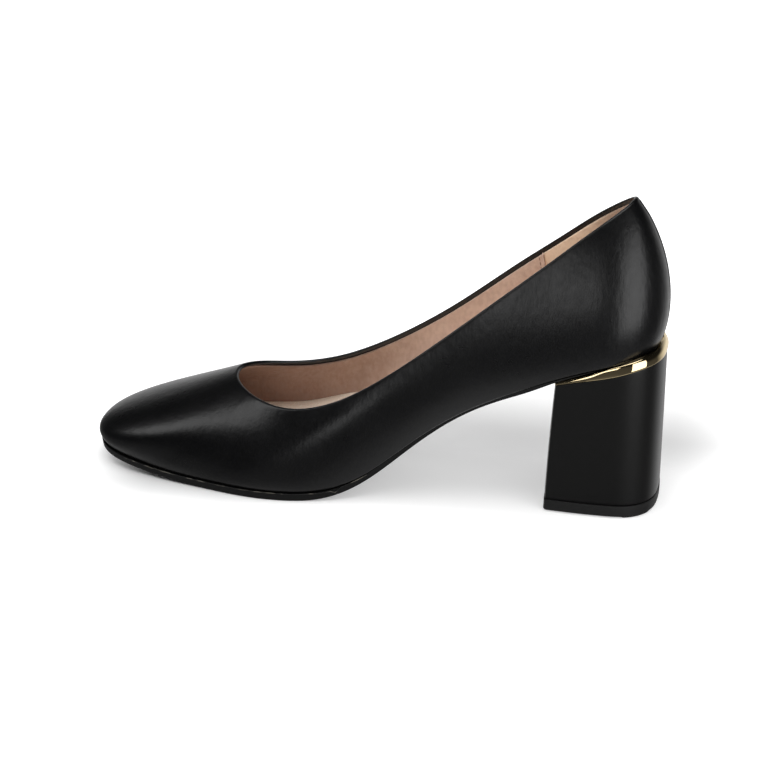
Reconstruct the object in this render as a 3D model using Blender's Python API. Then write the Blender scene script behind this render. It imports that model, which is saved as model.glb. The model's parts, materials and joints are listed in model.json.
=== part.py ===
"""A left court shoe with a block heel, built as its maker's pieces. Units are metres, +Z is up.

The toe points along -X, the outer side of the foot faces -Y, and the shoe stands on z = 0.
The tables and sizes below are in millimetres. "along" is measured forward from the back of the heel.
"""

import bmesh
import bpy
import numpy as np

for old in list(bpy.data.objects):
    bpy.data.objects.remove(old, do_unlink=True)
shoe = bpy.data.objects.new("shoe", None)
bpy.context.scene.collection.objects.link(shoe)

MM = 0.001
GAP = 0.3

# Driving sizes of the last and the heel
TOE_TIP = 242.8
SEAT_BACK = 3.5
TOPLINE_BACK = 15.0
THROAT_FRONT = 182.5
OUTSOLE_BACK = 26.0
WALL = 1.8
LASTING_MARGIN = 9.0
INSIDE_CORNER = 0.6
INSOLE_THICKNESS = 4.2
OUTSOLE_EDGE_SLANT = 0.4
TOPLINE_LEAN = 0.3
TOP_PIECE_HEIGHT = 5.0
TOP_PIECE_WIDER = 0.7
SOCK_CURL = 5.0

# How the outlines round off at their ends: length of the rounded end, and how square it is
SEAT_ROUND = (22.0, 2.25)
TOE_ROUND = (30.0, 2.25)
TOPLINE_BACK_ROUND = (30.0, 2.25)
THROAT_ROUND = (36.0, 2.0)
HEEL_BACK_ROUND = (21.0, 2.7)
HEEL_FRONT_ROUND = (1.4, 2.0)

# The bottom edge of the last: centre line, half widths on each side of it, and height of each edge
FEATHER_COLUMNS = ("along", "centre", "lateral", "medial", "lateral_rise", "medial_rise")
FEATHER = (
    (0.0, 0.0, 22.8, 22.8, 67.8, 67.8),
    (18.0, 0.0, 23.6, 23.6, 64.5, 64.5),
    (42.0, 0.0, 24.0, 23.6, 57.0, 57.2),
    (62.0, 0.0, 23.2, 21.6, 48.3, 49.8),
    (82.0, 0.0, 22.6, 20.2, 37.8, 41.2),
    (102.0, 0.0, 24.6, 21.6, 23.6, 30.2),
    (120.0, 0.0, 29.6, 26.6, 9.9, 18.6),
    (137.0, 0.0, 35.6, 33.0, 4.0, 9.2),
    (152.0, 0.1, 38.6, 36.8, 3.4, 4.8),
    (168.0, 0.5, 38.4, 37.6, 3.4, 3.4),
    (186.0, 1.6, 35.4, 36.0, 3.5, 3.5),
    (204.0, 3.2, 32.4, 32.8, 4.1, 4.1),
    (222.0, 4.6, 28.8, 29.6, 5.8, 5.8),
    (242.8, 5.2, 29.4, 29.4, 8.8, 8.8),
)

# The top edge of the upper, from the back of the heel to the front of the throat
TOPLINE_COLUMNS = ("along", "centre", "lateral", "medial", "lateral_rise", "medial_rise")
TOPLINE = (
    (15.0, 0.0, 13.6, 13.6, 128.0, 128.0),
    (32.0, 0.0, 15.0, 15.0, 115.7, 116.6),
    (45.0, 0.0, 17.8, 17.8, 105.3, 106.3),
    (65.0, 0.0, 22.4, 22.4, 89.6, 90.8),
    (90.0, 0.0, 25.0, 25.0, 69.6, 71.2),
    (112.0, 0.0, 27.4, 27.4, 53.2, 56.3),
    (130.0, 0.2, 29.2, 29.0, 42.9, 46.4),
    (147.0, 0.8, 29.8, 28.4, 37.7, 40.0),
    (164.0, 3.0, 29.4, 26.0, 37.4, 38.0),
    (182.5, 6.6, 28.0, 23.0, 39.8, 40.5),
)

# How the wall leaves the bottom edge and how it arrives at the topline, by place along the bottom
WALL_COLUMNS = ("along", "low_out", "low_up", "high_out", "high_down")
WALL_SHAPE = (
    (0.0, 7.0, 13.0, 17.9, 20.6),
    (22.0, 4.2, 18.2, 7.8, 18.2),
    (48.0, 4.8, 12.6, 4.6, 16.2),
    (85.0, 6.7, 8.8, 3.7, 13.8),
    (120.0, 4.0, 11.0, 4.5, 11.0),
    (155.0, 2.6, 11.0, 6.0, 9.5),
    (195.0, 2.8, 10.5, 10.0, 15.5),
    (225.0, 6.4, 9.8, 22.0, 16.0),
    (242.8, 10.6, 9.0, 33.0, 13.4),
)

# The outsole: how far it stands out past the bottom edge of the upper, and its thickness
OUTSOLE_COLUMNS = ("along", "stand_out", "thickness")
OUTSOLE = (
    (26.0, -0.3, 0.5),
    (34.0, -0.3, 0.85),
    (42.0, -0.3, 0.9),
    (50.0, -0.9, 2.0),
    (60.0, -1.8, 2.0),
    (82.0, -3.2, 2.2),
    (105.0, -1.8, 3.0),
    (128.0, 0.2, 3.1),
    (150.0, 0.8, 3.3),
    (200.0, 0.9, 3.1),
    (242.8, 0.9, 2.8),
)

# The heel block, from its foot to its top: front face, back face and greatest half width
HEEL_COLUMNS = ("level", "front", "back", "half_width")
HEEL = (
    (0.0, 46.3, 0.6, 25.0),
    (0.5, 45.1, 0.4, 24.6),
    (1.0, 43.4, 0.2, 24.2),
)
HEEL_SIDE_BOW = 1.3

# The sloping top of the heel block
HEEL_TOP_COLUMNS = ("along", "rise")
HEEL_TOP = (
    (0.0, 65.2),
    (8.0, 63.25),
    (20.0, 59.65),
    (32.0, 56.8),
    (43.4, 53.95),
)

# The band over the heel block, bottom to top: share of its height, and how far its sides and back stand out
BAND_PROFILE = (
    (0.0, 0.0, 0.0),
    (0.1, 0.2, 0.2),
    (0.6, 0.2, 0.1),
    (0.88, 0.05, -0.5),
    (1.0, -0.2, -1.1),
)

# The rim of the band: its height over the seat, and the width of the ledge from the rim in to the leather
BAND_RIM_COLUMNS = ("along", "rise", "ledge")
BAND_RIM = (
    (0.0, 0.6, 0.9),
    (4.0, 1.1, 1.4),
    (8.0, 1.1, 1.5),
    (11.0, 0.75, 1.4),
    (14.0, 0.35, 1.1),
    (17.0, -0.05, 0.7),
    (20.0, -0.4, 0.4),
    (24.0, -0.8, 0.4),
    (26.0, -1.15, 0.4),
    (32.0, -1.5, 0.4),
    (43.4, -1.45, 0.4),
)
LEDGE_SLOPE = 0.2
LEDGE_WALL = 0.15

# The top piece under the heel block, bottom to top: height, and how far it stands out
TOP_PIECE_PROFILE = ((0.0, -0.2), (0.3, 0.1), (TOP_PIECE_HEIGHT, 0.1))

# The padded edge of the sock, which curls up the inner side of the arch
SOCK_EDGE_COLUMNS = ("along", "rise")
SOCK_EDGE = (
    (90.0, 0.0),
    (105.0, 0.6),
    (120.0, 2.6),
    (134.0, 5.4),
    (146.0, 7.2),
    (156.0, 6.4),
    (166.0, 4.2),
    (176.0, 3.2),
    (190.0, 2.2),
    (205.0, 0.9),
    (220.0, 0.0),
)

# How finely the curves are cut, and how the facets are merged and shaded
LOOP_HALF = 48
WALL_ROWS = 12
LOW_ROWS_CLOSER = 1.25
RUNGS = 40
RUNG_CELLS = 6
HEEL_HALF = 24
HEEL_RINGS = 5
MERGE_DISTANCE = 0.001
SHARP_DEGREES = 40.0


def smooth_curve(stations, values):
    """A natural cubic spline through the values, as a function of the station."""
    x = np.asarray(stations, float)
    y = np.asarray(values, float)
    step = np.diff(x)
    system = np.eye(len(x))
    right = np.zeros(len(x))
    for i in range(1, len(x) - 1):
        system[i, i - 1 : i + 2] = step[i - 1], 2 * (step[i - 1] + step[i]), step[i]
        right[i] = 6 * ((y[i + 1] - y[i]) / step[i] - (y[i] - y[i - 1]) / step[i - 1])
    bend = np.linalg.solve(system, right)

    def read(at):
        at = np.clip(np.asarray(at, float), x[0], x[-1])
        i = np.clip(np.searchsorted(x, at) - 1, 0, len(x) - 2)
        before = at - x[i]
        after = x[i + 1] - at
        cubic = (bend[i] * after**3 + bend[i + 1] * before**3) / (6 * step[i])
        start = (y[i] / step[i] - bend[i] * step[i] / 6) * after
        end = (y[i + 1] / step[i] - bend[i + 1] * step[i] / 6) * before
        return cubic + start + end

    return read


def curves_of(columns, rows):
    """One smooth curve for each column of a table, over the table's first column."""
    stations = [row[0] for row in rows]
    return {
        name: smooth_curve(stations, [row[i] for row in rows])
        for i, name in enumerate(columns)
    }


FEATHER_ENDS = (SEAT_BACK, TOE_TIP)
FEATHER_ROUNDS = (SEAT_ROUND, TOE_ROUND)
TOPLINE_ENDS = (TOPLINE_BACK, THROAT_FRONT)
TOPLINE_ROUNDS = (TOPLINE_BACK_ROUND, THROAT_ROUND)
FEATHER_AT = curves_of(FEATHER_COLUMNS, FEATHER)
TOPLINE_AT = curves_of(TOPLINE_COLUMNS, TOPLINE)
WALL_AT = curves_of(WALL_COLUMNS, WALL_SHAPE)
OUTSOLE_AT = curves_of(OUTSOLE_COLUMNS, OUTSOLE)
HEEL_AT = curves_of(HEEL_COLUMNS, HEEL)
HEEL_TOP_AT = curves_of(HEEL_TOP_COLUMNS, HEEL_TOP)
BAND_RIM_AT = curves_of(BAND_RIM_COLUMNS, BAND_RIM)
SOCK_EDGE_AT = curves_of(SOCK_EDGE_COLUMNS, SOCK_EDGE)


def rounded_end(distance, length, squareness):
    """Share of the full width at a distance from a rounded end."""
    short = np.clip(1 - np.asarray(distance, float) / length, 0, 1)
    return (1 - short**squareness) ** (1 / squareness)


def edge(curves, along, side, ends, rounds, grow=0.0):
    """Sideways place of an outline's edges; side is -1 for lateral and +1 for medial."""
    half = np.where(np.asarray(side) > 0, curves["medial"](along), curves["lateral"](along))
    back = rounded_end(along - (ends[0] - grow), *rounds[0])
    front = rounded_end((ends[1] + grow) - along, *rounds[1])
    return curves["centre"](along) + side * (half + grow) * back * front


def eased(count):
    """Steps from 0 to 1, close together at both ends."""
    return (1 - np.cos(np.pi * np.arange(count + 1) / count)) / 2


def loop_sides(half):
    """Step numbers and side signs once round a closed outline: out along -1, back along +1."""
    steps = np.concatenate([np.arange(half + 1), np.arange(half - 1, 0, -1)])
    signs = np.concatenate([-np.ones(half + 1), np.ones(half - 1)])
    return steps, signs


def bottom_height(along, across):
    """Height of the bottom of the last, straight across between its two edges."""
    centre = FEATHER_AT["centre"](along)
    lateral = centre - FEATHER_AT["lateral"](along)
    medial = centre + FEATHER_AT["medial"](along)
    share = np.clip((across - lateral) / (medial - lateral), 0, 1)
    low = FEATHER_AT["lateral_rise"](along)
    return low + (FEATHER_AT["medial_rise"](along) - low) * share


def outward_of(loop):
    """Level unit vectors that point out of a closed loop of points."""
    ahead = np.roll(loop, -1, axis=0) - np.roll(loop, 1, axis=0)
    out = np.column_stack([ahead[:, 1], -ahead[:, 0], np.zeros(len(loop))])
    out /= np.linalg.norm(out, axis=1)[:, None]
    middle = loop.mean(axis=0)
    turn = np.sign(np.sum(out * (loop - middle), axis=1).sum())
    return out * turn


def feather_loop():
    """The closed edge where the upper turns under the foot."""
    steps, signs = loop_sides(LOOP_HALF)
    along = SEAT_BACK + (TOE_TIP - SEAT_BACK) * eased(LOOP_HALF)[steps]
    across = edge(FEATHER_AT, along, signs, FEATHER_ENDS, FEATHER_ROUNDS)
    return np.column_stack([-along, across, bottom_height(along, across)])


def topline_loop():
    """The closed top edge of the upper, whose points lean back from those of the feather edge."""
    steps, signs = loop_sides(LOOP_HALF)
    share = eased(LOOP_HALF)[steps]
    share = share + TOPLINE_LEAN * share * (1 - share)
    along = TOPLINE_BACK + (THROAT_FRONT - TOPLINE_BACK) * share
    across = edge(TOPLINE_AT, along, signs, TOPLINE_ENDS, TOPLINE_ROUNDS)
    lateral_rise = TOPLINE_AT["lateral_rise"](along)
    medial_rise = TOPLINE_AT["medial_rise"](along)
    off_centre = (across - TOPLINE_AT["centre"](along)) / TOPLINE_AT["lateral"](along)
    medial_share = np.clip(0.5 + off_centre / 2, 0, 1)
    rise = lateral_rise + (medial_rise - lateral_rise) * medial_share
    return np.column_stack([-along, across, rise])


def wall_rows():
    """The upper's outer surface as rows of points from the feather edge up to the topline."""
    foot = feather_loop()
    top = topline_loop()
    out = outward_of(foot)
    up = np.array([0.0, 0.0, 1.0])
    along = -foot[:, 0]

    def along_wall(name):
        return WALL_AT[name](along)[:, None]

    low = foot + along_wall("low_out") * out + along_wall("low_up") * up
    high = top + along_wall("high_out") * out - along_wall("high_down") * up
    rows = []
    for v in np.linspace(0, 1, WALL_ROWS + 1) ** LOW_ROWS_CLOSER:
        u = 1 - v
        rows.append(u**3 * foot + 3 * u * u * v * low + 3 * u * v * v * high + v**3 * top)
    return np.array(rows)


def surface_normals(rows):
    """Outward unit normals of a grid of rows, each row a closed loop."""
    around = np.roll(rows, -1, axis=1) - np.roll(rows, 1, axis=1)
    rising = np.gradient(rows, axis=0)
    normal = np.cross(around, rising)
    normal /= np.linalg.norm(normal, axis=2)[:, :, None]
    outward = np.sum(normal[len(rows) // 2] * outward_of(rows[0]), axis=1).sum()
    return normal * np.sign(outward)


def on_bottom(loop, inset, lift):
    """A loop moved inward over the bottom of the last, at a height above it."""
    moved = loop - inset * outward_of(loop)
    moved[:, 2] = bottom_height(-moved[:, 0], moved[:, 1]) + lift
    return moved


def wall_faces():
    """The upper's outer rows, and its inner rows from the inside corner at the bottom to the topline."""
    outer = wall_rows()
    inner = outer - WALL * surface_normals(outer)
    rise = inner[:, :, 2] - bottom_height(-inner[:, :, 0], inner[:, :, 1])
    clear = [inner[k] for k in range(1, len(inner)) if rise[k].min() > WALL + INSIDE_CORNER]
    return list(outer), [on_bottom(outer[0], WALL + INSIDE_CORNER, WALL)] + clear


def upper_rings():
    """Closed loops round the upper's whole wall, in order, from the lasting margin up and back."""
    outer, inner = wall_faces()
    half_margin = LASTING_MARGIN / 2
    under = [on_bottom(outer[0], inset, 0.0) for inset in (LASTING_MARGIN, half_margin, INSIDE_CORNER)]
    over = [on_bottom(outer[0], inset, WALL) for inset in (half_margin, LASTING_MARGIN)]
    return under + outer + inner[::-1] + over


def insole_loops():
    """Bottom and top edge loops of the insole, clear of the wall on all sides."""
    inner = np.array(wall_faces()[1])
    rise = inner[:, :, 2] - bottom_height(-inner[:, :, 0], inner[:, :, 1])
    signs = loop_sides(LOOP_HALF)[1]
    curl = np.where(signs > 0, SOCK_EDGE_AT["rise"](-inner[0][:, 0]), 0.0)
    floor = np.full(len(curl), WALL + GAP)
    loops = []
    for level in (floor, floor + INSOLE_THICKNESS + curl):
        loop = np.empty_like(inner[0])
        for j in range(len(loop)):
            for axis in range(3):
                loop[j, axis] = np.interp(level[j], rise[:, j], inner[:, j, axis])
        loops.append(on_bottom(loop, GAP, level))
    return loops


def add_object(name, mesh_data, material):
    """A Blender object from a bmesh, cleaned, with its faces out and its round sides smooth."""
    bmesh.ops.remove_doubles(mesh_data, verts=mesh_data.verts, dist=MERGE_DISTANCE * MM)
    bmesh.ops.dissolve_degenerate(mesh_data, edges=mesh_data.edges, dist=MERGE_DISTANCE * MM)
    bmesh.ops.recalc_face_normals(mesh_data, faces=mesh_data.faces)
    mesh = bpy.data.meshes.new(name)
    mesh_data.to_mesh(mesh)
    mesh_data.free()
    mesh.shade_smooth()
    mesh.set_sharp_from_angle(angle=np.radians(SHARP_DEGREES))
    mesh.materials.append(material)
    piece = bpy.data.objects.new(name, mesh)
    bpy.context.scene.collection.objects.link(piece)
    piece.parent = shoe
    return piece


def add_ring(mesh_data, points):
    """The edges of a closed loop through the points."""
    ring = [mesh_data.verts.new(np.asarray(point) * MM) for point in points]
    return [mesh_data.edges.new((ring[i - 1], ring[i])) for i in range(len(ring))]


def loft(loops, closed=False):
    """A skin through a row of loops; a closed one runs from the last loop back to the first."""
    mesh_data = bmesh.new()
    rings = [add_ring(mesh_data, loop) for loop in loops]
    pairs = list(zip(rings, rings[1:]))
    if closed:
        pairs.append((rings[-1], rings[0]))
    for ring, following in pairs:
        bmesh.ops.bridge_loops(mesh_data, edges=ring + following)
    return mesh_data


def cap_ends(mesh_data, points_round):
    """Closes the first and the last loop of a loft with strips from one side to the other."""
    mesh_data.verts.ensure_lookup_table()
    for first in (0, len(mesh_data.verts) - points_round):
        ring = mesh_data.verts[first : first + points_round]
        for i in range(points_round // 2):
            corners = dict.fromkeys((ring[i], ring[i + 1], ring[-i - 1], ring[-i]))
            mesh_data.faces.new(list(corners))
    return mesh_data


def rungs_between(lateral, medial):
    """Straight rungs of points from each lateral point to its medial point."""
    share = np.linspace(0, 1, RUNG_CELLS + 1)[None, :, None]
    return lateral[:, None, :] * (1 - share) + medial[:, None, :] * share


def slab(top, bottom):
    """A closed sheet whose rungs each make one loop: over the top and back underneath."""
    sheet = loft([np.concatenate([high, low[::-1]]) for high, low in zip(top, bottom)])
    bmesh.ops.holes_fill(sheet, edges=sheet.edges)
    return sheet


def build_upper(material):
    """The hollow leather upper, open at the top and underneath inside its lasting margin."""
    return add_object("upper", loft(upper_rings(), closed=True), material)


def build_insole(material):
    """The insole with its sock, lying on the lasting margin inside the upper."""
    grids = []
    for loop in insole_loops():
        lateral = loop[: LOOP_HALF + 1]
        medial = np.concatenate([loop[:1], loop[: LOOP_HALF - 1 : -1]])
        grids.append(rungs_between(lateral, medial))
    bottom, top = grids
    share = np.linspace(0, 1, RUNG_CELLS + 1)
    rise = SOCK_EDGE_AT["rise"](-top[:, -1, 0])[:, None]
    top[:, :, 2] += rise * (share**SOCK_CURL - share)
    return add_object("insole", slab(top, bottom), material)


def outsole_grid(along, trim, depth):
    """Rungs of the outsole at a depth under the bottom of the last, never below the floor."""
    stand_out = OUTSOLE_AT["stand_out"](along) - trim
    sides = []
    for side in (-1, 1):
        across = edge(FEATHER_AT, along, side, FEATHER_ENDS, FEATHER_ROUNDS, stand_out)
        sides.append(np.column_stack([-along, across, np.zeros(len(along))]))
    grid = rungs_between(*sides)
    height = bottom_height(-grid[:, :, 0], grid[:, :, 1]) - np.asarray(depth)[:, None]
    grid[:, :, 2] = np.maximum(height, 0.0)
    return grid


def build_outsole(material):
    """The outsole, from its thin end between the band and the seat, over the arch, to the toe."""
    start = OUTSOLE_BACK
    reach = TOE_TIP + OUTSOLE_AT["stand_out"](TOE_TIP) - start
    closer_to_toe = np.sin(np.pi / 2 * np.arange(RUNGS + 1) / RUNGS)
    along_top = start + reach * closer_to_toe
    along_bottom = start + (reach - OUTSOLE_EDGE_SLANT) * closer_to_toe
    top = outsole_grid(along_top, 0.0, np.full(RUNGS + 1, GAP))
    bottom = outsole_grid(along_bottom, OUTSOLE_EDGE_SLANT, GAP + OUTSOLE_AT["thickness"](along_bottom))
    return add_object("outsole", slab(top, bottom), material)


def heel_outline(level, grow=0.0, wider=0.0):
    """The heel's flat-fronted round outline at a level from its foot (0) to its top (1)."""
    steps, signs = loop_sides(HEEL_HALF)
    front = HEEL_AT["front"](level) + grow
    back = HEEL_AT["back"](level) - grow
    along = back + (front - back) * eased(HEEL_HALF)[steps]
    toward_breast = np.clip(2 * (along - back) / (front - back) - 1, 0, 1)
    width = HEEL_AT["half_width"](level) + grow + wider - HEEL_SIDE_BOW * toward_breast**2
    width = width * rounded_end(along - back, *HEEL_BACK_ROUND)
    width = width * rounded_end(front - along, *HEEL_FRONT_ROUND)
    return along, signs * width


def build_heel_block(material):
    """The block heel between the top piece and the band."""
    foot = TOP_PIECE_HEIGHT + GAP
    loops = []
    for level in np.linspace(0, 1, HEEL_RINGS + 1):
        along, across = heel_outline(level)
        top = HEEL_TOP_AT["rise"](along)
        loops.append(np.column_stack([-along, across, foot + level * (top - foot)]))
    return add_object("heel_block", cap_ends(loft(loops), 2 * HEEL_HALF), material)


def build_heel_band(material):
    """The metal wedge between the block heel and the seat; round the back its rim rises past the seat."""
    loops = []
    around = heel_outline(1.0)[0]
    at_back = np.clip(1 - around / HEEL_BACK_ROUND[0], 0, 1) ** 2
    for share, side_grow, back_grow in BAND_PROFILE:
        grow = side_grow + (back_grow - side_grow) * at_back
        along, across = heel_outline(1.0, grow)
        low = HEEL_TOP_AT["rise"](along) + GAP
        rim = bottom_height(along, across) + BAND_RIM_AT["rise"](along)
        loops.append(np.column_stack([-along, across, low + share * (rim - low)]))
    ledge = BAND_RIM_AT["ledge"](around)
    rim = rim + LEDGE_SLOPE * ledge
    along, across = heel_outline(1.0, grow - ledge)
    loops.append(np.column_stack([-along, across, rim]))
    along, across = heel_outline(1.0, grow - ledge - LEDGE_WALL)
    under_seat = np.minimum(rim, bottom_height(along, across) - GAP)
    loops.append(np.column_stack([-along, across, under_seat]))
    return add_object("heel_band", cap_ends(loft(loops), 2 * HEEL_HALF), material)


def build_top_piece(material):
    """The wearing piece under the block heel."""
    loops = []
    for height, grow in TOP_PIECE_PROFILE:
        along, across = heel_outline(0.0, grow, TOP_PIECE_WIDER)
        loops.append(np.column_stack([-along, across, np.full(len(along), height)]))
    return add_object("top_piece", cap_ends(loft(loops), 2 * HEEL_HALF), material)


def finish(name, colour, roughness, metallic=0.0):
    """A plain material of one colour."""
    made = bpy.data.materials.new(name)
    made.use_nodes = True
    shader = made.node_tree.nodes["Principled BSDF"]
    shader.inputs["Base Color"].default_value = (*colour, 1.0)
    shader.inputs["Roughness"].default_value = roughness
    shader.inputs["Metallic"].default_value = metallic
    return made


def stand_over_origin(pieces):
    """Moves the whole shoe so that the middle of its box lies over the origin."""
    points = np.concatenate([[vertex.co for vertex in piece.data.vertices] for piece in pieces])
    middle = (points.min(axis=0) + points.max(axis=0)) / 2
    shoe.location = (-middle[0], -middle[1], 0.0)


stand_over_origin([
    build_upper(finish("black_leather", (0.012, 0.012, 0.013), 0.38)),
    build_insole(finish("beige_sock", (0.62, 0.50, 0.38), 0.75)),
    build_outsole(finish("black_sole", (0.014, 0.014, 0.015), 0.50)),
    build_heel_block(finish("black_heel_wrap", (0.010, 0.010, 0.011), 0.45)),
    build_heel_band(finish("mirror_gold", (0.86, 0.62, 0.30), 0.08, 1.0)),
    build_top_piece(finish("black_top_piece", (0.012, 0.012, 0.012), 0.60)),
])
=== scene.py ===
# %% [markdown]
# # Dressing a court shoe
# The shoe's pieces are already built at their real size: an upper, an insole, an outsole, a block heel,
# a metal band and a top piece. This lesson turns those plain solids into leather, lining, rubber and
# gold. Every piece keeps its place and its size. Each plain solid is copied, smoothed and finished, and
# the copy stands in for it.

import json
import math

import bpy
import numpy as np
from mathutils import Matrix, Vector


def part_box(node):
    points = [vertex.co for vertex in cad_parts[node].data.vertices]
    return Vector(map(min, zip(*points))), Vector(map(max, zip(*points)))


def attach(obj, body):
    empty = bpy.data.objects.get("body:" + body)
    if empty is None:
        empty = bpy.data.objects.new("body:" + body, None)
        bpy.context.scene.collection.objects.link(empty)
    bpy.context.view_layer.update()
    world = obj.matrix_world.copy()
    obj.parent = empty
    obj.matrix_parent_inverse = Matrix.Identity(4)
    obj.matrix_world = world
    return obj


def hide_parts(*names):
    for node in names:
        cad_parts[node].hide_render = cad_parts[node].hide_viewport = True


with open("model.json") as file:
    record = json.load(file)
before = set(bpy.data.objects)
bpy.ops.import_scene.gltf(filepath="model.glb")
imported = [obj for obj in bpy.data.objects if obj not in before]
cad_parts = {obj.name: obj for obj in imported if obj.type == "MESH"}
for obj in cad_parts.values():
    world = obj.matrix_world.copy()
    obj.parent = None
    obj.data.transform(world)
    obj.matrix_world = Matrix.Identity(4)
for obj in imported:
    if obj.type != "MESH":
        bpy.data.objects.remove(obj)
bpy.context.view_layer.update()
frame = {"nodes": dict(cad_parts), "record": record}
MM = 0.001
print("nodes:", sorted(frame["nodes"]))

# %% [markdown]
# ## Working on one piece at a time
# An operator acts on everything that is selected, so each step first selects its own piece and nothing
# else. A solid arrives as loose triangles. Merging its points and joining the triangles back into the
# four-sided faces of its grid lets a subdivision surface run smoothly over it, which a satin leather
# needs: it shows every dent as a kink in its highlight.

# %% Select and copy a piece
MERGE_DISTANCE = 0.01 * MM
QUAD_ANGLE = math.radians(60)
QUAD_SKEW = math.radians(80)
KEEP_GRID = 2.0


def only(piece):
    """Makes one piece the selected and active object."""
    bpy.ops.object.select_all(action="DESELECT")
    piece.select_set(True)
    bpy.context.view_layer.objects.active = piece


def new_piece(name, mesh):
    """Puts a mesh into the scene as a selected piece."""
    piece = bpy.data.objects.new(name, mesh)
    bpy.context.scene.collection.objects.link(piece)
    only(piece)
    return piece


def copy_of(node, name):
    """A copy of a solid with its points merged and its triangles joined into quads."""
    piece = new_piece(name, frame["nodes"][node].data.copy())
    piece.data.materials.clear()
    bpy.ops.object.mode_set(mode="EDIT")
    bpy.ops.mesh.select_all(action="SELECT")
    bpy.ops.mesh.customdata_custom_splitnormals_clear()
    bpy.ops.mesh.remove_doubles(threshold=MERGE_DISTANCE)
    bpy.ops.mesh.tris_convert_to_quads(
        face_threshold=QUAD_ANGLE, shape_threshold=QUAD_SKEW, topology_influence=KEEP_GRID
    )
    bpy.ops.object.mode_set(mode="OBJECT")
    bpy.ops.object.shade_smooth()
    return piece


# %% Apply modifiers
def apply(piece, kind, **settings):
    """Adds a modifier with these settings to a piece and applies it."""
    only(piece)
    modifier = piece.modifiers.new(kind, kind)
    for name, value in settings.items():
        setattr(modifier, name, value)
    bpy.ops.object.modifier_apply(modifier=modifier.name)


SHARP = math.radians(50)


def round_edges(piece, width, segments=2):
    """Rounds every sharp edge."""
    apply(piece, "BEVEL", width=width, segments=segments, limit_method="ANGLE", angle_limit=SHARP)


# %% Read and move points
def points_of(mesh):
    """The places of a mesh's points, one row each."""
    places = np.empty(3 * len(mesh.vertices), np.float32)
    mesh.vertices.foreach_get("co", places)
    return places.reshape(-1, 3)


def move_points(piece, places):
    """Puts the points of a piece at new places."""
    piece.data.vertices.foreach_set("co", np.asarray(places, np.float32).ravel())
    piece.data.update()


# %% [markdown]
# ## Smooth, but true to size
# A subdivision surface shrinks a shape a little. Pushing its first points out by what they lost, a few
# times over, brings the smooth surface back through them. Points on a finely rounded edge stay free,
# because holding those would crumple it.

# %% Smooth a piece
FREE_EDGE = 0.5 * MM
HELD_EDGE = 1.5 * MM


def smooth_over(piece, levels, hold_rounds=0):
    """Runs a subdivision surface over a piece, with rounds of holding it to its first points."""
    only(piece)
    ends = np.array([edge.vertices for edge in piece.data.edges])
    goal = points_of(piece.data)
    lengths = np.linalg.norm(goal[ends[:, 0]] - goal[ends[:, 1]], axis=1)
    shortest = np.full(len(goal), HELD_EDGE)
    np.minimum.at(shortest, ends.ravel(), np.repeat(lengths, 2))
    hold = np.clip((shortest - FREE_EDGE) / (HELD_EDGE - FREE_EDGE), 0, 1)[:, None]
    modifier = piece.modifiers.new("smooth", "SUBSURF")
    modifier.levels = levels
    modifier.render_levels = levels
    for _ in range(hold_rounds):
        drawn = piece.evaluated_get(bpy.context.evaluated_depsgraph_get())
        reached = points_of(drawn.data)[: len(goal)]
        move_points(piece, points_of(piece.data) + hold * (goal - reached))
    bpy.ops.object.modifier_apply(modifier=modifier.name)
    drift = np.linalg.norm(points_of(piece.data)[: len(goal)] - goal, axis=1)
    print(f"{piece.name}: points moved by up to {drift.max() / MM:.3f} mm")


def say(piece):
    """Prints what a piece has become."""
    triangles = sum(len(face.vertices) - 2 for face in piece.data.polygons)
    print(f"{piece.name}: {triangles} triangles, {[round(s / MM, 1) for s in piece.dimensions]} mm")


# %% [markdown]
# ## The leather upper
# The real upper is a thin black calf, pulled over a last and turned in at the topline, so that its edge
# is a soft roll, which catches a thin line of light. The two edges of the topline are bevelled until
# they nearly meet, the outer one widest. They are the sharp edges above the middle of the foot, and that
# middle is known, because the stated hollows of the shoe lie along it.

# %% Find the middle of the foot
openings = frame["record"]["physics"]["openings"]
hollows = np.array([opening["box_m"] for opening in openings], float).mean(axis=1)
hollows = hollows[np.argsort(hollows[:, 0])]


def foot_middle(places):
    """The point on the middle line of the hollow that lies level with each place."""
    along = np.clip(places[:, 0], hollows[0, 0], hollows[-1, 0])
    across, height = (np.interp(along, hollows[:, 0], hollows[:, axis]) for axis in (1, 2))
    return np.column_stack([along, across, height])


print("middle of the foot in mm:", (hollows / MM).round(1).tolist())

# %% Choose faces and edges
def select(piece, kind, chosen):
    """Selects the chosen faces or edges and nothing else, ready for edit mode."""
    mesh = piece.data
    bpy.context.tool_settings.mesh_select_mode = (False, kind == "edges", kind == "polygons")
    for part in (mesh.vertices, mesh.edges, mesh.polygons):
        part.foreach_set("select", np.zeros(len(part), bool))
    getattr(mesh, kind).foreach_set("select", chosen)


def widest_line(middles, ends, edges):
    """Joins edges into lines by the points that they share, and gives those of the widest line."""
    line_of = np.arange(ends.max() + 1)
    for _ in edges:
        lowest = line_of[ends[edges]].min(axis=1)
        for end in (0, 1):
            np.minimum.at(line_of, ends[edges, end], lowest)
    lines = [edges[line_of[ends[edges, 0]] == first] for first in set(line_of[ends[edges, 0]])]
    return max(lines, key=lambda line: np.ptp(middles[line, 1]))


# %% Roll the topline
INNER_ROLL = 0.4 * MM
OUTER_ROLL = 1.2 * MM
ROLL_SEGMENTS = 4


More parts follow.
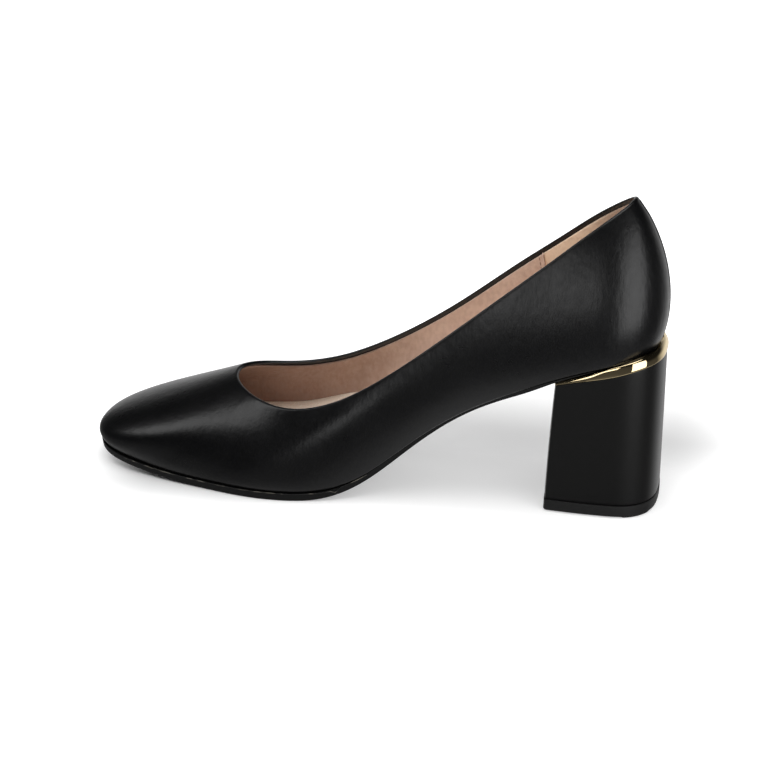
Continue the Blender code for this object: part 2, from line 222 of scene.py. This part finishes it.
def roll_topline(piece, width):
    """Bevels the widest sharp line of the topline into a roll."""
    only(piece)
    bpy.context.tool_settings.mesh_select_mode = (False, True, False)
    bpy.ops.object.mode_set(mode="EDIT")
    bpy.ops.mesh.select_all(action="DESELECT")
    bpy.ops.mesh.edges_select_sharp(sharpness=SHARP)
    bpy.ops.object.mode_set(mode="OBJECT")
    sharp = np.array([edge.select for edge in piece.data.edges])
    ends = np.array([edge.vertices for edge in piece.data.edges])
    middles = points_of(piece.data)[ends].mean(axis=1)
    topline = np.flatnonzero(sharp & (middles[:, 2] > foot_middle(middles)[:, 2]))
    line = widest_line(middles, ends, topline)
    print(f"topline: rolls {len(line)} of {len(topline)} sharp edges by {width / MM} mm")
    select(piece, "edges", np.isin(np.arange(len(ends)), line))
    bpy.ops.object.mode_set(mode="EDIT")
    bpy.ops.mesh.bevel(offset=width, segments=ROLL_SEGMENTS)
    bpy.ops.object.mode_set(mode="OBJECT")


# %% Make the upper
LASTED_EDGE = 0.45 * MM
FINE = 2
HOLD = 3

upper = copy_of("upper", "upper_leather")
for width in (OUTER_ROLL, INNER_ROLL):
    roll_topline(upper, width)
round_edges(upper, LASTED_EDGE)
smooth_over(upper, FINE, HOLD)
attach(upper, "root")
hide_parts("upper")
say(upper)

# %% [markdown]
# ## The seam down the back
# The two halves of the upper meet in a closed seam down the middle of the heel. On the shoe it is a fine
# valley between two low welts. Rays cast at the leather from behind find its line, and two thin beads
# laid along it, mostly sunk in the leather, make the welts.

# %% Find the line of the seam
SEAM_STEPS = 40
SEAM_LOW = 69.5 * MM
SEAM_HIGH = 126.6 * MM
WELT_RADIUS = 0.4 * MM
WELT_APART = 0.42 * MM
WELT_SUNK = 0.22 * MM
BEHIND = 200 * MM


def welt_line(across):
    """Points down the back of the heel, just under the skin of the leather."""
    line = []
    for height in np.linspace(SEAM_LOW, SEAM_HIGH, SEAM_STEPS):
        hit, place, normal, face = upper.ray_cast((BEHIND, across, height), (-1, 0, 0))
        if hit:
            line.append(place - normal * WELT_SUNK)
    return line


# %% Lay beads along it
BEAD_ROUNDNESS = 3


def bead(name, lines, radius):
    """Round beads along lines of points, as one mesh."""
    curve = bpy.data.curves.new(name, "CURVE")
    curve.dimensions = "3D"
    curve.bevel_depth = radius
    curve.bevel_resolution = BEAD_ROUNDNESS
    curve.use_fill_caps = True
    for line in lines:
        spline = curve.splines.new("POLY")
        spline.points.add(len(line) - 1)
        for point, place in zip(spline.points, line):
            point.co = (*place, 1.0)
    new_piece(name, curve)
    bpy.ops.object.convert(target="MESH")
    piece = bpy.context.view_layer.objects.active
    bpy.ops.object.shade_smooth()
    return piece


heel_middle = (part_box("heel_band")[0].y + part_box("heel_band")[1].y) / 2
welts = [welt_line(heel_middle + side * WELT_APART) for side in (-1, 1)]
back_seam = bead("back_seam", welts, WELT_RADIUS)
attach(back_seam, "root")
say(back_seam)

# %% [markdown]
# ## The lining
# Inside, the front and the sides are lined with pink leather, which stops a little below the rolled edge
# and shows its pale cut rim there. A sueded heel grip lines the back, and the pink lining laps over it
# with a folded, sewn edge. Both are cut from the inside of the upper: from one face that looks straight
# at the middle of the foot, the selection spreads as far as the sharp bends at the topline and the
# insole.

# %% Cut a sheet from the inside of the upper
LINING_DROP = 2.0 * MM


def inner_skin(name):
    """The inside of the upper as an open sheet, trimmed back from the topline."""
    piece = copy_of("upper", name)
    centres = np.array([face.center for face in piece.data.polygons])
    normals = np.array([face.normal for face in piece.data.polygons])
    inward = foot_middle(centres) - centres
    facing = np.sum(normals * inward, axis=1) / np.linalg.norm(inward, axis=1)
    select(piece, "polygons", np.arange(len(facing)) == facing.argmax())
    bpy.ops.object.mode_set(mode="EDIT")
    bpy.ops.mesh.faces_select_linked_flat(sharpness=SHARP)
    bpy.ops.mesh.select_all(action="INVERT")
    bpy.ops.mesh.delete(type="FACE")
    bpy.ops.mesh.select_all(action="SELECT")
    bpy.ops.mesh.inset(thickness=LINING_DROP, use_boundary=True, use_even_offset=True)
    bpy.ops.mesh.select_all(action="INVERT")
    bpy.ops.mesh.delete(type="FACE")
    bpy.ops.object.mode_set(mode="OBJECT")
    smooth_over(piece, FINE, HOLD)
    return piece


# %% Trim a sheet at the seam
SEAM_PLACE = Vector((68.6 * MM, 0.0, 93.5 * MM))
SEAM_NORMAL = Vector((1.0, 0.0, 0.15)).normalized()
SEAM_LAP = 3.0 * MM


def cut_at_seam(piece, shift, keep_back):
    """Cuts a lining sheet at the seam plane and keeps one side of it."""
    only(piece)
    bpy.ops.object.mode_set(mode="EDIT")
    bpy.ops.mesh.select_all(action="SELECT")
    bpy.ops.mesh.bisect(
        plane_co=SEAM_PLACE + SEAM_NORMAL * shift,
        plane_no=SEAM_NORMAL,
        clear_inner=keep_back,
        clear_outer=not keep_back,
    )
    bpy.ops.object.mode_set(mode="OBJECT")


# %% Make the lining and the heel grip
LINING_THICKNESS = 0.75 * MM
GRIP_THICKNESS = 0.4 * MM

lining = inner_skin("pink_lining")
cut_at_seam(lining, 0.0, keep_back=False)
apply(lining, "SOLIDIFY", thickness=LINING_THICKNESS, offset=1.0, material_offset_rim=1)
heel_grip = inner_skin("heel_grip")
cut_at_seam(heel_grip, -SEAM_LAP, keep_back=True)
apply(heel_grip, "SOLIDIFY", thickness=GRIP_THICKNESS, offset=1.0, material_offset_rim=1)
for sheet in (lining, heel_grip):
    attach(sheet, "root")
    say(sheet)

# %% [markdown]
# ## The sewn edge of the lining
# Where the lining laps over the heel grip its edge is folded, and a row of stitches holds it down just
# in front of the fold. Rays cast outward from the middle of the foot follow the fold down both sides of
# the shoe. A bead along that line is the fold. One stitch is shaped from a sphere and then laid again and
# again along a second line.

# %% Make the folded edge
FOLD_RADIUS = 0.4 * MM
FOLD_RAYS = 120
FOLD_LOW = 72 * MM
FOLD_HIGH = 106 * MM


def line_on_lining(shift, side):
    """A line down one side of the lining, at a distance from the seam plane."""
    line = []
    for height in np.linspace(FOLD_HIGH, FOLD_LOW, FOLD_RAYS):
        along = SEAM_PLACE.x + shift - (height - SEAM_PLACE.z) * SEAM_NORMAL.z / SEAM_NORMAL.x
        hit, place, normal, face = lining.ray_cast((along, 0.0, height), (0, side, 0))
        if hit:
            line.append(np.array(place))
    return np.array(line)


fold = bead("lining_fold", [line_on_lining(-FOLD_RADIUS, side) for side in (-1, 1)], FOLD_RADIUS)
print("rays down each side of the fold:", FOLD_RAYS)

# %% Shape one stitch
STITCH_SIZE = (0.22 * MM, 0.22 * MM, 0.85 * MM)
STITCH_SIDES = 10
STITCH_RINGS = 8

bpy.ops.object.select_all(action="DESELECT")
bpy.ops.mesh.primitive_uv_sphere_add(segments=STITCH_SIDES, ring_count=STITCH_RINGS, radius=1.0)
stitch = bpy.context.view_layer.objects.active
bpy.ops.transform.resize(value=STITCH_SIZE)
bpy.ops.object.transform_apply(location=False, rotation=False, scale=True)
stitch_points = points_of(stitch.data)
stitch_faces = [tuple(face.vertices) for face in stitch.data.polygons]
bpy.data.objects.remove(stitch)
print("faces of one stitch:", len(stitch_faces))

# %% Lay the stitches
STITCH_PITCH = 2.3 * MM
STITCH_INSET = 2.2 * MM

places = []
faces = []
for side in (-1, 1):
    line = line_on_lining(-STITCH_INSET, side)
    length = np.concatenate([[0.0], np.cumsum(np.linalg.norm(np.diff(line, axis=0), axis=1))])
    for middle in np.arange(STITCH_PITCH / 2, length[-1], STITCH_PITCH):
        spot, before, after = (
            np.array([np.interp(middle + step, length, line[:, axis]) for axis in range(3)])
            for step in (0.0, -STITCH_SIZE[2], STITCH_SIZE[2])
        )
        turn = Vector(after - before).to_track_quat("Z", "X").to_matrix()
        faces += [tuple(len(places) * len(stitch_points) + i for i in face) for face in stitch_faces]
        places.append(stitch_points @ np.array(turn).T + spot)
mesh = bpy.data.meshes.new("lining_stitches")
mesh.from_pydata(np.concatenate(places).tolist(), [], faces)
stitches = new_piece("lining_stitches", mesh)
bpy.ops.object.shade_smooth()
print("stitches:", len(places))
for piece in (fold, stitches):
    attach(piece, "root")
    say(piece)

# %% [markdown]
# ## The sock
# The sock is the beige sheet that the foot stands on, glued over a padded insole. Its edge turns down
# softly where it meets the lining, so its copy gets a wide rounded edge. Padding under the ball of the
# foot lifts its top a little.

# %% Make the sock
SOCK_EDGE = 1.0 * MM
SOCK_PAD = 1.0 * MM
PAD_FRONT = -45 * MM
PAD_BACK = -12 * MM
LOOKS_UP = 0.3

sock = copy_of("insole", "sock")
looks_up = np.array([vertex.normal.z > LOOKS_UP for vertex in sock.data.vertices])
pad = looks_up * np.interp(points_of(sock.data)[:, 0], (PAD_FRONT, PAD_BACK), (SOCK_PAD, 0.0))
move_points(sock, points_of(sock.data) + np.outer(pad, (0, 0, 1)))
round_edges(sock, SOCK_EDGE)
smooth_over(sock, 1)
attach(sock, "root")
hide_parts("insole")
say(sock)

# %% [markdown]
# ## Sole, heel, band and top piece
# These four are hard, with edges that are trimmed and polished but never knife sharp. Each copy gets its
# own narrow rounding, and a subdivision surface takes the facets out of the curved sides. The band's face
# leans: its lower edge stands a fraction of a millimetre further out than its upper one, so that the
# band mirrors the lights in front of it instead of the table.

# %% Lean the face of the band
BAND_LEAN = 0.2
LEAN_OUT = 0.6
LEAN_AT_TIP = 1.4 * MM
LEAN_AT_BACK = 3.4 * MM
LEAN_GROWS = 35 * MM
FACES_OUT = 0.3
hard = {}


def lean(piece):
    """Leans the band's face, its lower part out and its top in, by the height over the heel."""
    places = points_of(piece.data)
    low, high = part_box("heel_block")
    along = np.clip(places[:, 0], low.x + MM, high.x - MM)
    wrap = hard["heel_wrap"]
    seat = [wrap.ray_cast((x, heel_middle, high.z + MM), (0, 0, -1))[1].z for x in along]
    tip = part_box("heel_band")[0].x
    reach = np.interp(places[:, 0], (tip, tip + LEAN_GROWS), (LEAN_AT_TIP, LEAN_AT_BACK))
    shift = BAND_LEAN * np.maximum(LEAN_OUT * reach - (places[:, 2] - seat), (LEAN_OUT - 1) * reach)
    outward = np.array([vertex.normal for vertex in piece.data.vertices]) * (1, 1, 0)
    flat = np.linalg.norm(outward, axis=1)
    outward *= np.where(flat > FACES_OUT, shift / np.maximum(flat, FACES_OUT), 0.0)[:, None]
    move_points(piece, places + outward)
    print(f"{piece.name}: leans from {shift.min() / MM:.2f} to {shift.max() / MM:.2f} mm")


# %% Make the hard pieces
HARD_PIECES = (
    ("outsole", "sole", 0.35 * MM, 2, "black_sole"),
    ("heel_block", "heel_wrap", 0.45 * MM, 2, "black_heel_wrap"),
    ("heel_band", "gold_band", 0.25 * MM, 3, "mirror_gold"),
    ("top_piece", "heel_top_piece", 0.35 * MM, 2, "black_top_piece"),
)

for node, name, edge, levels, slot in HARD_PIECES:
    piece = copy_of(node, name)
    if node == "heel_band":
        lean(piece)
    round_edges(piece, edge)
    smooth_over(piece, levels)
    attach(piece, "root")
    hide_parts(node)
    hard[name] = piece
    say(piece)

# %% [markdown]
# ## The cemented joint
# A sole like this is glued on. Along the outer side of the ball a thread of dried cement shows between
# leather and sole, a pale, broken line, whose pale patches are partly the cement's own colour and partly
# painted glints. It is a thin bead laid along the outermost top edge of the sole.

# %% Make the line of cement
CEMENT_RADIUS = 0.16 * MM
CEMENT_BACK = 4 * MM
CEMENT_FRONT = -104 * MM
CEMENT_STEP = 2 * MM
EDGE_DEPTH = 0.25 * MM

sole_points = points_of(hard["sole"].data)
cement_line = []
for along in np.arange(CEMENT_FRONT, CEMENT_BACK, CEMENT_STEP):
    slice_points = sole_points[np.abs(sole_points[:, 0] - along) < CEMENT_STEP]
    edge_points = slice_points[slice_points[:, 1] < slice_points[:, 1].min() + 2 * EDGE_DEPTH]
    cement_line.append((along, edge_points[:, 1].min() + EDGE_DEPTH, edge_points[:, 2].max()))
cement = bead("cement_line", [cement_line], CEMENT_RADIUS)
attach(cement, "root")
say(cement)

# %% [markdown]
# ## Writing shaders as sums
# A finish is a small network of nodes. Here a socket can be added, multiplied and so on like a number,
# and every other node comes from one method that takes its type, its settings and its inputs.

# %% A socket that takes part in sums
class Socket:
    """A shader socket that takes part in Python sums."""

    def __init__(self, finish, socket):
        self.finish = finish
        self.socket = socket

    def sum(self, operation, first, second):
        return self.finish.node("ShaderNodeMath", {"operation": operation}, {0: first, 1: second})

    def __add__(self, other):
        return self.sum("ADD", self, other)

    def __radd__(self, other):
        return self.sum("ADD", other, self)

    def __sub__(self, other):
        return self.sum("SUBTRACT", self, other)

    def __rsub__(self, other):
        return self.sum("SUBTRACT", other, self)

    def __mul__(self, other):
        return self.sum("MULTIPLY", self, other)

    def __rmul__(self, other):
        return self.sum("MULTIPLY", other, self)


# %% A network of nodes
class Network:
    """A node tree, with one method that adds any node to it."""

    def __init__(self, tree):
        self.tree = tree

    def node(self, kind, settings=None, inputs=None, output=0):
        """A new node; its settings are set first, then its inputs, and one output comes back."""
        made = self.tree.nodes.new(kind)
        for name, value in (settings or {}).items():
            setattr(made, name, value)
        for socket, value in (inputs or {}).items():
            if isinstance(value, Socket):
                self.tree.links.new(value.socket, made.inputs[socket])
            else:
                made.inputs[socket].default_value = value
        return Socket(self, made.outputs[output])

    def step(self, value, low, high, new_low=0.0, new_high=1.0):
        """A smooth step from one value to another."""
        inputs = {"Value": value, 1: low, 2: high, 3: new_low, 4: new_high}
        return self.node("ShaderNodeMapRange", {"interpolation_type": "SMOOTHSTEP"}, inputs)


# %% A finish
class Finish(Network):
    """A material with one Principled shader, and the nodes that feed it."""

    def __init__(self, name, constants):
        self.material = bpy.data.materials.new(name)
        self.material.use_nodes = True
        super().__init__(self.material.node_tree)
        self.shader = self.tree.nodes["Principled BSDF"]
        for socket, value in constants.items():
            self.shader.inputs[socket].default_value = value

    def place(self, scale=(1, 1, 1)):
        """Object coordinates, stretched."""
        spot = self.node("ShaderNodeTexCoord", output="Object")
        return self.node("ShaderNodeMapping", inputs={"Vector": spot, "Scale": scale})

    def noise(self, size, stretch=(1, 1, 1), detail=2.0, roughness=0.5):
        """Noise whose blobs are about this size in metres, before they are stretched."""
        inputs = {
            "Vector": self.place(stretch),
            "Scale": 1 / size,
            "Detail": detail,
            "Roughness": roughness,
        }
        return self.node("ShaderNodeTexNoise", inputs=inputs)

    def mix(self, share, first, second):
        """A blend of two colours."""
        return self.node("ShaderNodeMix", {"data_type": "RGBA"}, {0: share, 6: first, 7: second}, 2)

    def bump(self, height, depth, strength=1.0, under=None):
        """A bump of this depth in metres, on top of another one if there is one."""
        inputs = {"Height": height, "Distance": depth, "Strength": strength}
        if under:
            inputs["Normal"] = under
        return self.node("ShaderNodeBump", inputs=inputs)

    def feed(self, socket, value):
        """Links a value that varies over the surface to an input of the shader."""
        self.tree.links.new(value.socket, self.shader.inputs[socket])


def colour(red, green, blue):
    """An opaque colour in linear light."""
    return (red, green, blue, 1.0)


# %% [markdown]
# ## Black leather
# Smooth calf is nearly black, with a satin gloss and a grain too fine to see except where light grazes
# it. The gloss varies a little over the hide, low soft swells mottle the highlights, and fine wrinkles
# run up the wall.

# %% Black leather
DARK_HIDE = colour(0.0012, 0.0012, 0.0014)
PALE_HIDE = colour(0.002, 0.002, 0.0023)


def black_leather():
    """Calf with swells, fine wrinkles and a grain, and a gloss that varies over the hide."""
    finish = Finish("black_leather", {"IOR": 1.5})
    hide = finish.noise(26 * MM, detail=3.0)
    grain = finish.noise(0.45 * MM, detail=2.0)
    wrinkles = finish.noise(1.6 * MM, stretch=(1.0, 1.0, 0.25), detail=3.0)
    pores = finish.noise(2.5 * MM, detail=2.0)
    finish.feed("Base Color", finish.mix(hide, DARK_HIDE, PALE_HIDE))
    finish.feed("Roughness", finish.step(hide, 0.2, 0.8, 0.23, 0.29) + pores * 0.1)
    swells = finish.bump(finish.noise(5 * MM, detail=3.0), 0.12 * MM, 0.8)
    folds = finish.bump(wrinkles, 0.1 * MM, 0.8, swells)
    finish.feed("Normal", finish.bump(grain, 0.02 * MM, 0.4, folds))
    return finish.material


leather = black_leather()
for piece in (upper, back_seam):
    piece.data.materials.append(leather)
print("nodes in the leather:", len(leather.node_tree.nodes))

# %% [markdown]
# ## Linings
# The lining is a pigmented pink leather with short faint creases across the foot, whose troughs carry
# painted shade, and its cut rim is paler. The grip is a warmer, napped beige. The sock is beige too, with a
# fine pale speckle. Painted shade darkens all of them deep in the vamp and round the inside of the heel.

# %% Painted shade
# The colour of the painted shade laid deep in the vamp and round the inside of the heel.
PAINTED_SHADE = colour(0.15, 0.065, 0.045)
VAMP_INSIDE = -50 * MM
VAMP_OPEN = 45 * MM
HEEL_TURN = 82 * MM
HEEL_INSIDE = 104 * MM


def with_painted_shade(finish, unshaded, share):
    """A colour with painted shade deep in the vamp and round the inside of the heel."""
    along = finish.node("ShaderNodeSeparateXYZ", inputs={0: finish.place()}, output="X")
    vamp = finish.step(along, VAMP_OPEN, VAMP_INSIDE, 0.0, share)
    heel = finish.step(along, HEEL_TURN, HEEL_INSIDE, 0.0, share)
    return finish.mix(vamp + heel, unshaded, PAINTED_SHADE)


# %% Lining, grip, sock and thread
# How strongly the painted shade darkens the linings and the sock.
LINING_PAINTED_SHADE = 0.68
SOCK_PAINTED_SHADE = 0.1


def pink_leather(name, base, shade, roughness):
    """A cloudy, creased lining leather that runs from its shade to its base colour, with painted shade in
    the troughs of its creases.
    """
    finish = Finish(name, {"IOR": 1.45, "Roughness": roughness})
    cloudy = finish.noise(9 * MM, stretch=(0.7, 1.0, 1.0), detail=4.0)
    crease_bumps_and_shade = finish.noise(1.5 * MM, stretch=(0.8, 1.0, 0.5), detail=4.0)
    grain = finish.noise(0.5 * MM)
    # Random clouds and the crease troughs both pull the colour toward the shade; in the troughs this is
    # painted shade.
    tone = finish.step(cloudy + crease_bumps_and_shade, 0.7, 1.3)
    finish.feed("Base Color", with_painted_shade(finish, finish.mix(tone, shade, base), LINING_PAINTED_SHADE))
    creased = finish.bump(crease_bumps_and_shade, 0.4 * MM, 0.9)
    finish.feed("Normal", finish.bump(grain, 0.03 * MM, 0.5, creased))
    return finish.material


def beige_sock():
    """A matte sheet with a fine pale speckle."""
    finish = Finish("beige_sock", {"IOR": 1.45, "Roughness": 0.75})
    speckle = finish.step(finish.noise(0.7 * MM, detail=1.0), 0.58, 0.7)
    unshaded = finish.mix(speckle, colour(0.88, 0.74, 0.60), colour(0.96, 0.88, 0.77))
    finish.feed("Base Color", with_painted_shade(finish, unshaded, SOCK_PAINTED_SHADE))
    finish.feed("Normal", finish.bump(finish.noise(0.6 * MM), 0.05 * MM))
    return finish.material


def thread():
    """A dull thread that is a little darker in its twists."""
    finish = Finish("pink_thread", {"IOR": 1.45, "Roughness": 0.6})
    twist = finish.noise(0.4 * MM)
    finish.feed("Base Color", finish.mix(twist, colour(0.32, 0.19, 0.15), colour(0.42, 0.27, 0.22)))
    return finish.material


# %% Give the linings their finishes
LINING_FINISHES = (
    (lining, "pink_lining", (0.70, 0.51, 0.41), (0.57, 0.395, 0.31), 0.5),
    (lining, "lining_rim", (0.72, 0.48, 0.36), (0.64, 0.42, 0.31), 0.7),
    (heel_grip, "heel_grip", (0.94, 0.73, 0.55), (0.86, 0.65, 0.48), 0.8),
    (heel_grip, "grip_rim", (0.70, 0.50, 0.37), (0.62, 0.44, 0.32), 0.8),
)

for sheet, name, base, shade, roughness in LINING_FINISHES:
    sheet.data.materials.append(pink_leather(name, colour(*base), colour(*shade), roughness))
sock.data.materials.append(beige_sock())
fold.data.materials.append(lining.data.materials[0])
stitches.data.materials.append(thread())
print("lining finishes:", [finish[1] for finish in LINING_FINISHES])

# %% [markdown]
# ## Sole, heel wrap, gold and top piece
# The heel is wrapped in a thin black leather. The sole and the top piece are moulded, dull and slightly
# grained. One function makes all three, each from its own tone, roughness, grain and sheen, which is its
# index of refraction. The band is plated and polished: a metal that mirrors, under a faint haze. The thread
# of cement is pale and dark by turns, so that it looks broken; its pale patches are partly its own colour
# and partly painted glints.

# %% Hard finishes
TONE_SPREAD = 0.2
GLOSS_SPREAD = 0.04


def plain_black(name, base, roughness, grain_size, grain_depth, sheen):
    """A black finish whose tone and gloss vary a little with its grain."""
    finish = Finish(name, {"IOR": sheen})
    grain = finish.noise(grain_size)
    dark, pale = (colour(*(base * share,) * 3) for share in (1 - TONE_SPREAD, 1 + TONE_SPREAD))
    finish.feed("Base Color", finish.mix(grain, dark, pale))
    gloss = finish.step(grain, 0.2, 0.8, roughness - GLOSS_SPREAD, roughness + GLOSS_SPREAD)
    finish.feed("Roughness", gloss)
    finish.feed("Normal", finish.bump(grain, grain_depth))
    return finish.material


def mirror_gold():
    """Polished plating with a faint haze."""
    finish = Finish("mirror_gold", {"Metallic": 1.0, "Base Color": colour(0.83, 0.67, 0.40)})
    haze = finish.noise(6 * MM)
    finish.feed("Roughness", finish.step(haze, 0.3, 0.7, 0.03, 0.07))
    return finish.material


def cement_with_painted_glints():
    """Cement that shows pale only here and there, partly by its own colour and partly as painted glints."""
    finish = Finish("cement_with_painted_glints", {"IOR": 1.45, "Roughness": 0.35})
    # The pale patches are partly the cement's colour and partly painted glints.
    cement_and_glint_patches = finish.step(finish.noise(5 * MM, detail=3.0), 0.48, 0.62)
    finish.feed("Base Color", finish.mix(cement_and_glint_patches, colour(0.004, 0.004, 0.004), colour(0.12, 0.11, 0.09)))
    return finish.material


# %% Give the hard pieces their finishes
HARD_FINISHES = (
    ("sole", "black_sole", 0.003, 0.5, 0.5 * MM, 0.02 * MM, 1.35),
    ("heel_wrap", "heel_wrap", 0.002, 0.38, 0.5 * MM, 0.01 * MM, 1.45),
    ("heel_top_piece", "top_piece", 0.007, 0.6, 0.4 * MM, 0.02 * MM, 1.4),
)

for name, *settings in HARD_FINISHES:
    hard[name].data.materials.append(plain_black(*settings))
hard["gold_band"].data.materials.append(mirror_gold())
cement.data.materials.append(cement_with_painted_glints())
print("hard finishes:", [finish[1] for finish in HARD_FINISHES])

# %% [markdown]
# ## Floor
# The shoe stands on a white table in a small light tent. A table that glows a little by itself stays
# white up to the sole and still takes a soft shadow. It glows least round the toe and behind the arch,
# where the photo's shadow is deepest. It is kept out of the reflections: on so dark a leather a white
# table would lie as a grey veil over the whole side of the shoe.

# %% Floor
FLOOR_SIZE = 8.0
FLOOR_DROP = 0.1 * MM
TOE_GLOW = 0.0
ARCH_GLOW = 0.45
ARCH_ALONG = (-60 * MM, 10 * MM)
ARCH_ACROSS = (5 * MM, 65 * MM)
FAR_GLOW = 1.0
FAR_SIDES = (
    (0, -85 * MM, -160 * MM),
    (0, 118 * MM, 190 * MM),
    (1, -28 * MM, -80 * MM),
    (1, 55 * MM, 185 * MM),
)

bpy.ops.object.select_all(action="DESELECT")
bpy.ops.mesh.primitive_plane_add(size=FLOOR_SIZE, location=(0, 0, -FLOOR_DROP))
floor = bpy.context.view_layer.objects.active
floor.name = "floor"

table = Finish(
    "white_table", {"Base Color": colour(0.7, 0.7, 0.7), "Roughness": 0.9, "Emission Strength": 1.0}
)
toward_heel, behind = (
    table.node("ShaderNodeSeparateXYZ", inputs={0: table.place()}, output=axis) for axis in "XY"
)
glow = table.step(toward_heel, *ARCH_ALONG, TOE_GLOW, ARCH_GLOW) * table.step(behind, *ARCH_ACROSS, 1.0, 0.0)
for axis, dim, bright in FAR_SIDES:
    glow += table.step((toward_heel, behind)[axis], dim, bright, 0.0, FAR_GLOW)
table.feed("Emission Color", glow)
floor.data.materials.append(table.material)
floor.visible_glossy = False
floor.visible_shadow = False
print("table: glows by", ARCH_GLOW, "under the arch and", FAR_GLOW, "far from the shoe")

# %% [markdown]
# ## Light
# Black leather is drawn by what it mirrors. A soft box high over the toe lays the broad highlight on the
# toe's side, a small one in front lights the counter, and a tall one to the right makes the upright
# highlight beside the back seam. One overhead, which only the rolled topline can mirror, draws a thin
# line of light along it. The roof of the tent lights the lining and the table, and is kept out of the
# reflections, as black flags would keep it in a studio. The boxes stand close, so the toe and the heel
# each mirror their own part of the tent.

# %% Soft boxes
AIM = Vector((0.0, 0.0, 60 * MM))
BOX_COLUMNS = ("name", "azimuth", "elevation", "distance", "width", "height", "radiance", "mirrored")
SOFT_BOXES = (
    ("toe_box", -167.0, 41.0, 0.6, 0.26, 0.36, 2.1, True),
    ("front_box", -96.0, 16.0, 0.6, 0.20, 0.17, 2.3, True),
    ("side_box", -39.0, 10.0, 0.6, 0.44, 0.46, 2.3, True),
    ("overhead_box", -98.0, 80.0, 0.7, 0.55, 0.5, 2.4, True),
    ("tent_roof", 30.0, 85.0, 0.9, 1.8, 1.8, 1.2, False),
)


def soft_box(name, azimuth, elevation, distance, width, height, radiance, mirrored):
    """An area light aimed at the shoe, of an even brightness, which gloss may or may not mirror."""
    around = math.radians(azimuth)
    up = math.radians(elevation)
    out = Vector((math.cos(around) * math.cos(up), math.sin(around) * math.cos(up), math.sin(up)))
    light = bpy.data.lights.new(name, "AREA")
    light.shape = "RECTANGLE"
    light.size = width
    light.size_y = height
    light.energy = math.pi * width * height * radiance
    lamp = bpy.data.objects.new(name, light)
    bpy.context.scene.collection.objects.link(lamp)
    lamp.location = AIM + out * distance
    lamp.rotation_euler = out.to_track_quat("Z", "Y").to_euler()
    lamp.visible_camera = False
    lamp.visible_glossy = mirrored


for box in SOFT_BOXES:
    soft_box(**dict(zip(BOX_COLUMNS, box)))
print("soft boxes:", [box[0] for box in SOFT_BOXES])

# %% [markdown]
# ## What lies beyond the boxes
# Past the boxes the tent is dim. Behind and beside the shoe its walls glow low down, which outlines the
# shoe's edges, and straight below it brightens to the white of the table, which the leather mirrors
# where it turns under the foot. The camera itself sees plain white. Each glow is a product of smooth
# steps over the direction of a ray, from where the glow starts to where it is full.

# %% World
TENT_GLOW = 0.01
LOW_GLOW = 0.15
LOW_RISE = (0.1, -0.3)
LOW_ALONG = (0.15, -0.55)
WALL_GLOW = 0.9
WALL_RISE = (0.45, 0.05)
WALL_BEHIND = (0.35, 1.0)
WALL_ALONG = (-0.66, -0.44)
TABLE_GLOW = 0.4
TABLE_RISE = (-0.4, -0.85)

world = bpy.data.worlds.new("light_tent")
bpy.context.scene.world = world
world.use_nodes = True
tent = Network(world.node_tree)
direction = tent.node("ShaderNodeTexCoord", output="Generated")
toward_heel, behind, rising = (
    tent.node("ShaderNodeSeparateXYZ", inputs={0: direction}, output=axis) for axis in "XYZ"
)
low = TENT_GLOW + tent.step(rising, *LOW_RISE) * tent.step(toward_heel, *LOW_ALONG, 0.01, LOW_GLOW)
walls = tent.step(rising, *WALL_RISE) * tent.step(behind, *WALL_BEHIND, 0.05, WALL_GLOW)
walls *= tent.step(toward_heel, *WALL_ALONG, 0.1, 1.0)
below = tent.step(rising, *TABLE_RISE, 0.0, TABLE_GLOW)
seen = tent.node("ShaderNodeLightPath", output="Is Camera Ray")
glow = (low + walls + below) * (1 - seen) + seen
background = tent.tree.nodes["Background"]
background.inputs["Color"].default_value = colour(1, 1, 1)
tent.tree.links.new(glow.socket, background.inputs["Strength"])
print("nodes in the tent:", len(tent.tree.nodes))

# %% [markdown]
# ## Camera
# The camera stands where the photo was taken from: toward the heel end, well above the shoe, looking down
# with a long lens. Its place, its turn and its lens were solved together from the heel, the sole and the
# topline. The plain view transform keeps the white of the table white.

# %% Camera
CAMERA_PLACE = (179.35 * MM, -764.55 * MM, 341.2 * MM)
CAMERA_PITCH = 21.0
CAMERA_YAW = 12.85
LENS = 93.75
SENSOR_WIDTH = 36.0

camera = bpy.data.cameras.new("camera")
camera.lens = LENS
camera.sensor_width = SENSOR_WIDTH
eye = bpy.data.objects.new("camera", camera)
bpy.context.scene.collection.objects.link(eye)
eye.location = CAMERA_PLACE
eye.rotation_euler = (math.radians(90 - CAMERA_PITCH), 0.0, math.radians(CAMERA_YAW))
bpy.context.scene.camera = eye
bpy.context.scene.view_settings.view_transform = "Standard"
print("camera: lens", LENS, "mm, looks down by", CAMERA_PITCH, "degrees")
